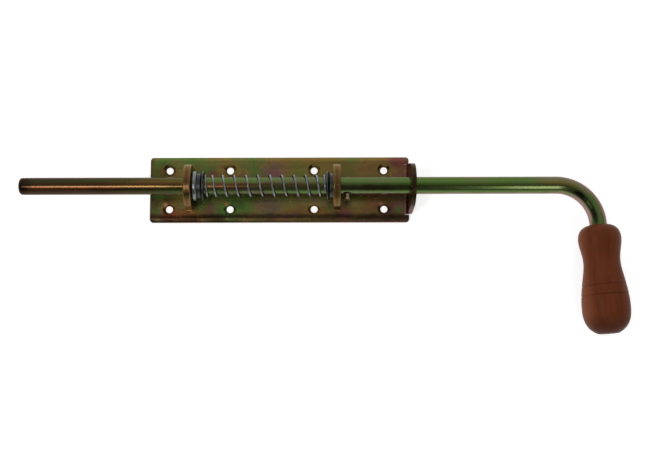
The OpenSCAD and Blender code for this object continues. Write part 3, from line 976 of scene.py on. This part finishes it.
    def build(self, effects: Effects) -> bpy.types.Object:
        """Makes the bar: ring point = centre + radius (cos t side + sin t up).

        Args:
            effects: The shared node groups.

        Returns:
            The bar.
        """
        distance, radii = self.stations()
        centre, side = self.centre_line(distance)
        turns = ring_turns(self.sides)
        grid = centre[:, None, :] + radii[:, None, None] * circle(turns, side, UP[None])
        finish = PassivatedZinc(
            "passivated_bar", Place.OWN, self.stops, clouds=60.0, flecks=260.0, fleck_share=0.3,
            contrast=1.0, stretch=(0.12, 1.0, 1.0), drift=0.5, drift_from=0.03, drift_to=0.22,
            roughness=0.2, roughness_range=0.015, mark_stretch=(0.02, 1.0, 1.0), bump=0.002,
            speckle=0.1, stains_and_painted_light=self.stains_and_painted_light).build(effects)
        skin = Skin()
        skin.rings(grid, laid_straight(distance, radii, turns))
        return settle(skin.piece("bolt_bar", finish), Body.BOLT, "bolt_rod")

    def dress(self, effects: Effects) -> None:
        """Dresses the stop pin.

        Args:
            effects: The shared node groups.
        """
        pin = PassivatedZinc(
            "passivated_pin", Place.OBJECT,
            ((0.0, srgb(140, 130, 104)), (0.5, srgb(158, 144, 116)), (1.0, srgb(146, 128, 104))),
            clouds=200.0, flecks=500.0).build(effects)
        dress("stop_pin", pin)


@dataclass
class SpringSeats:
    """The thrust collar, its cross pin and the two spring cups."""

    bright: BrightZinc = BrightZinc("bright_zinc", Place.OBJECT, light=srgb(124, 130, 130),
                                    dark=srgb(94, 100, 100))
    # the cups' darker colour is painted shade
    shaded: BrightZinc = BrightZinc("zinc_in_painted_shade", Place.OBJECT, light=srgb(76, 80, 78),
                                  dark=srgb(54, 58, 55), roughness=0.36)

    def dress(self, effects: Effects) -> None:
        """Dresses the turned pieces: the collar and its pin bright, the cups darker and rougher, the darker
        colour painted shade.

        Args:
            effects: The shared node groups.
        """
        bright = self.bright.build(effects)
        shaded = self.shaded.build(effects)
        for node in ("thrust_collar", "collar_pin"):
            dress(node, bright)
        for node in ("nose_spring_cup", "stop_spring_cup"):
            dress(node, shaded)


@dataclass
class CoilSpring:
    """The compression spring, with its pitch closing towards both ends."""

    start_x: float = SIZES.spring_start
    end_x: float = SIZES.spring_end
    axis_z: float = SIZES.axis_z
    wire_radius: float = 1.0 * MM
    outer_radius: float = SIZES.spring_radius
    turns: float = 11.5
    close_nose: float = 0.9  # turns over which the pitch eases, at each end
    close_stop: float = 0.8
    first_angle: float = math.radians(317)
    end_pitch: float = 1.5 * MM
    stroke: float = SIZES.stroke
    rings_per_turn: int = 48
    sides: int = 16

    def eased(self, turned: np.ndarray | float, tau: float, pitch: float) -> np.ndarray | float:
        """Length after n turns, as the pitch eases from e to p: p n - (p - e) tau (1 - exp(-n / tau))."""
        return pitch * turned - (pitch - self.end_pitch) * tau * (1 - np.exp(-turned / tau))

    def wire_x(self, turned: np.ndarray) -> np.ndarray:
        """Distance of the wire's centre along X after each number of turns.

        Both halves are eased from their own end and scaled together to fill the length between the cups.

        Args:
            turned: Turns from the nose end.

        Returns:
            Distances from the first centre.
        """
        travel = self.end_x - self.start_x - 2 * self.wire_radius
        closing = self.close_nose + self.close_stop
        pitch = (travel - self.end_pitch * closing) / (self.turns - closing)
        half = self.turns / 2
        whole = self.eased(half, self.close_nose, pitch) + self.eased(half, self.close_stop, pitch)
        front = self.eased(turned, self.close_nose, pitch) * travel / whole
        back = travel - self.eased(self.turns - turned, self.close_stop, pitch) * travel / whole
        return np.where(turned < half, front, back)

    def build(self, effects: Effects) -> bpy.types.Object:
        """Makes the wire: a circle of the wire's radius carried along the helix.

        Args:
            effects: The shared node groups.

        Returns:
            The spring.
        """
        turned = np.linspace(0, self.turns, round(self.turns * self.rings_per_turn) + 1)
        angle = self.first_angle + 2 * math.pi * turned
        outward = np.stack([np.zeros_like(angle), np.cos(angle), np.sin(angle)], axis=-1)
        centre = (self.outer_radius - self.wire_radius) * outward
        centre[:, 0] = self.start_x + self.wire_radius + self.wire_x(turned)
        centre[:, 2] += self.axis_z
        ahead = np.gradient(centre, axis=0)
        ahead /= np.linalg.norm(ahead, axis=1, keepdims=True)
        across = np.cross(ahead, outward)
        across /= np.linalg.norm(across, axis=1, keepdims=True)
        sides = ring_turns(self.sides)
        grid = centre[:, None, :] + self.wire_radius * circle(sides, outward, across)
        run = np.concatenate([[0], np.cumsum(np.linalg.norm(np.diff(centre, axis=0), axis=1))])
        straight = laid_straight(run, np.full(len(run), self.wire_radius), sides)
        finish = BrightZinc("spring_zinc", Place.OWN, light=srgb(142, 146, 146), dark=srgb(98, 102, 102),
                            mark_stretch=(0.05, 1.0, 1.0)).build(effects)
        skin = Skin()
        skin.rings(grid, straight)
        piece = settle(skin.piece("coil_spring", finish), Body.FRAME, "spring")
        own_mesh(piece)
        return piece


@dataclass
class TurnedGrip:
    """The wooden grip, turned in one piece, bored for the bar."""

    bar: BoltBar
    top_gap: float = 2.0 * MM
    bore_radius: float = 8.1 * MM
    bore_depth: float = 10.0 * MM
    bore_chamfer: float = 0.3 * MM
    grooves: tuple[float, ...] = (56.0 * MM, 65.0 * MM)
    groove_radius: float = 0.6 * MM
    groove_share: float = 0.75  # how much of the circle's bite is cut
    groove_reach: float = 1.2  # extent of the closer rings on each side, in groove radii
    groove_rings: int = 25
    length_rings: int = 130
    outline_steps: int = 800
    # depth and radius, in millimetres
    outline: tuple[tuple[float, float], ...] = (
        (0.0, 9.4), (1.4, 13.5), (4.3, 17.0), (8.0, 18.9), (13.3, 19.65), (22.8, 18.25), (33.4, 16.8),
        (41.5, 17.45), (50.7, 19.2), (59.8, 20.75), (69.0, 21.8), (76.3, 22.05), (87.4, 20.65), (92.7, 18.1),
        (96.5, 14.6), (98.7, 11.3), (99.65, 9.4))
    sides: int = 128

    def radius_at(self, depth: np.ndarray) -> np.ndarray:
        """Radius of the smooth outline.

        Depth and radius each follow a natural cubic spline over the run, the length along the outline's
        points so far.

        Args:
            depth: Distances from the grip's top.

        Returns:
            Radii.
        """
        at, radius = np.array(self.outline).T * MM
        run = np.concatenate([[0], np.cumsum(np.hypot(np.diff(at), np.diff(radius)))])
        along = np.linspace(0, run[-1], self.outline_steps)
        fine_at, fine_radius = natural_spline(run, at, along), natural_spline(run, radius, along)
        return np.interp(depth, np.maximum.accumulate(fine_at), fine_radius)

    def profile(self) -> np.ndarray:
        """Closed profile of the grip as rows of (depth, radius), from the bore's floor round to the tip.

        Each groove is a circle's bite out of the outline.

        Returns:
            Rows of depth and radius.
        """
        length = self.outline[-1][0] * MM
        wide = length * (1 - np.cos(np.linspace(0, math.pi, self.length_rings))) / 2
        close = np.linspace(-self.groove_reach, self.groove_reach, self.groove_rings) * self.groove_radius
        depth = np.unique(np.concatenate([wide] + [groove + close for groove in self.grooves]))
        radius = self.radius_at(depth)
        for groove in self.grooves:
            away = np.abs(depth - groove)
            bite = np.sqrt(np.maximum(self.groove_radius ** 2 - away ** 2, 0))
            radius = radius - self.groove_share * bite
        bore = [(self.bore_depth, self.bore_radius), (self.bore_chamfer, self.bore_radius),
                (0.0, self.bore_radius + self.bore_chamfer)]
        return np.vstack([bore, np.stack([depth, radius], axis=-1)])

    def build(self, effects: Effects) -> bpy.types.Object:
        """Makes the grip: the profile turned about the arm's line, point = centre + depth ahead + radius out.

        Args:
            effects: The shared node groups.

        Returns:
            The grip.
        """
        depth, radius = self.profile().T
        start = self.bar.straight + self.bar.arc + self.top_gap
        origin, side = (row[0] for row in self.bar.centre_line(np.array([start])))
        ahead = np.cross(side, UP)
        turns = ring_turns(self.sides)
        grid = (origin + depth[:, None, None] * ahead
                + radius[:, None, None] * circle(turns, side[None], UP[None]))
        along_z = np.roll(laid_straight(depth, radius, turns), -1, axis=-1)
        finish = StainedWood("stained_wood", Place.OWN, light=srgb(110, 53, 25), dark=srgb(96, 45, 20),
                             pore=srgb(60, 27, 15), rim_light=srgb(140, 78, 50),
                             groove_at=self.grooves).build(effects)
        skin = Skin()
        skin.rings(grid, along_z)
        return settle(skin.piece("turned_grip", finish), Body.BOLT, "grip")


# studio


@dataclass(frozen=True)
class Lamp:
    """An area lamp above the part."""

    name: str
    place: Point
    target: Point
    size: tuple[float, float]
    watts: float

    def build(self) -> None:
        """Adds the lamp, turned so that its light runs from its place to its target."""
        light = bpy.data.lights.new(self.name, "AREA")
        light.shape = "RECTANGLE"
        light.size, light.size_y = self.size
        light.energy = self.watts
        made = bpy.data.objects.new(self.name, light)
        made.location = self.place
        made.rotation_euler = (Vector(self.target) - Vector(self.place)).to_track_quat("-Z", "Y").to_euler()
        bpy.context.scene.collection.objects.link(made)


@dataclass
class Studio:
    """Pale floor, soft sky, one lamp over each end of the bar, and the camera.

    The sky's places are parts of a direction, from -1 to 1, and its lights are shares of white.
    """

    floor_drop: float = 0.4 * MM
    floor_half: float = 6.0
    floor_grey: float = 0.8
    floor_glow: float = 0.66
    horizon_top: float = 0.42
    front_at: float = -0.25
    middle_at: float = 0.2
    back_at: float = 0.85
    front_light: float = 0.2
    middle_light: float = 0.46
    back_light: float = 0.96
    lamps: tuple[Lamp, ...] = (
        Lamp("lamp_left", (-0.33, -0.27, 0.95), (-0.33, 0.0, 0.0), (0.28, 0.24), 2.1),
        Lamp("lamp_right", (0.455, -0.8, 0.95), (0.455, 0.0, 0.0), (0.13, 0.72), 1.6))
    focal_px: float = 1300.0
    frame_px: float = 650.0
    sensor: float = 36.0
    eye: Point = (0.0465, -0.2292, 1.2042)
    tilt: float = 0.1614
    yaw: float = 0.019722
    roll: float = -0.0217
    nearest: float = 0.05
    farthest: float = 50.0

    def sky(self) -> None:
        """World light by direction: white near the horizon, dark above in front, and lighter to the back."""
        world = bpy.data.worlds.new("studio")
        bpy.context.scene.world = world
        world.use_nodes = True
        graph = Graph(world.node_tree)
        direction = graph.node("ShaderNodeTexCoord").outputs["Generated"]
        parts = graph.node("ShaderNodeSeparateXYZ", {0: direction})
        height, back = parts.outputs[2], parts.outputs[1]
        low = graph.span(height, self.horizon_top, 0.0)
        front = graph.span(back, self.front_at, self.middle_at, self.front_light, self.middle_light)
        behind = graph.span(back, self.middle_at, self.back_at, 0.0, self.back_light - self.middle_light)
        seen = graph.mix(low, graph.math("ADD", front, behind), WHITE)
        path = graph.node("ShaderNodeLightPath")
        colour = graph.mix(path.outputs["Is Camera Ray"], seen, WHITE)
        background = graph.node("ShaderNodeBackground", {0: colour, 1: 1.0})
        graph.node("ShaderNodeOutputWorld", {0: background.outputs[0]})

    def floor(self) -> None:
        """Makes the floor: pale and diffuse, lifted to white where it is seen, with the shadow kept."""
        half, low = self.floor_half, -self.floor_drop
        mesh = bpy.data.meshes.new("studio_floor")
        mesh.from_pydata([(-half, -half, low), (half, -half, low), (half, half, low), (-half, half, low)], [],
                         [(0, 1, 2, 3)])
        made = bpy.data.objects.new("studio_floor", mesh)
        bpy.context.scene.collection.objects.link(made)
        material = bpy.data.materials.new("pale_floor")
        material.use_nodes = True
        graph = Graph(material.node_tree)
        grey = self.floor_grey
        diffuse = graph.node("ShaderNodeBsdfDiffuse", {0: (grey, grey, grey, 1.0)})
        path = graph.node("ShaderNodeLightPath")
        either = graph.math("MAXIMUM", path.outputs["Is Camera Ray"], path.outputs["Is Glossy Ray"])
        seen = graph.math("MULTIPLY", either, self.floor_glow)
        glow = graph.node("ShaderNodeEmission", {0: WHITE, 1: seen})
        both = graph.node("ShaderNodeAddShader", {0: diffuse.outputs[0], 1: glow.outputs[0]})
        graph.node("ShaderNodeOutputMaterial", {0: both.outputs[0]})
        mesh.materials.append(material)

    def camera(self) -> None:
        """Adds the camera at the photograph's place: looking down, tilted a little towards +Y."""
        data = bpy.data.cameras.new("view")
        data.sensor_width = self.sensor
        data.lens = self.focal_px / self.frame_px * self.sensor
        data.clip_start = self.nearest
        data.clip_end = self.farthest
        made = bpy.data.objects.new("view", data)
        turn = Euler((self.tilt, 0.0, self.yaw)).to_matrix() @ Matrix.Rotation(self.roll, 3, "Z")
        made.matrix_world = Matrix.Translation(Vector(self.eye)) @ turn.to_4x4()
        bpy.context.scene.collection.objects.link(made)
        bpy.context.scene.camera = made

    def build(self) -> None:
        """Builds the sky, floor, lamps and camera."""
        self.sky()
        self.floor()
        for lamp in self.lamps:
            lamp.build()
        self.camera()
        bpy.context.scene.view_settings.view_transform = "Standard"


def main() -> None:
    """Builds and dresses the latch, piece by piece, in its studio."""
    logging.basicConfig(level=logging.INFO, format="%(name)s: %(message)s")
    Studio().build()
    effects = Effects()
    PressedPlate().dress(effects)
    bar = BoltBar()
    bar.build(effects)
    bar.dress(effects)
    SpringSeats().dress(effects)
    CoilSpring().build(effects)
    TurnedGrip(bar).build(effects)


if __name__ == "__main__":
    main()
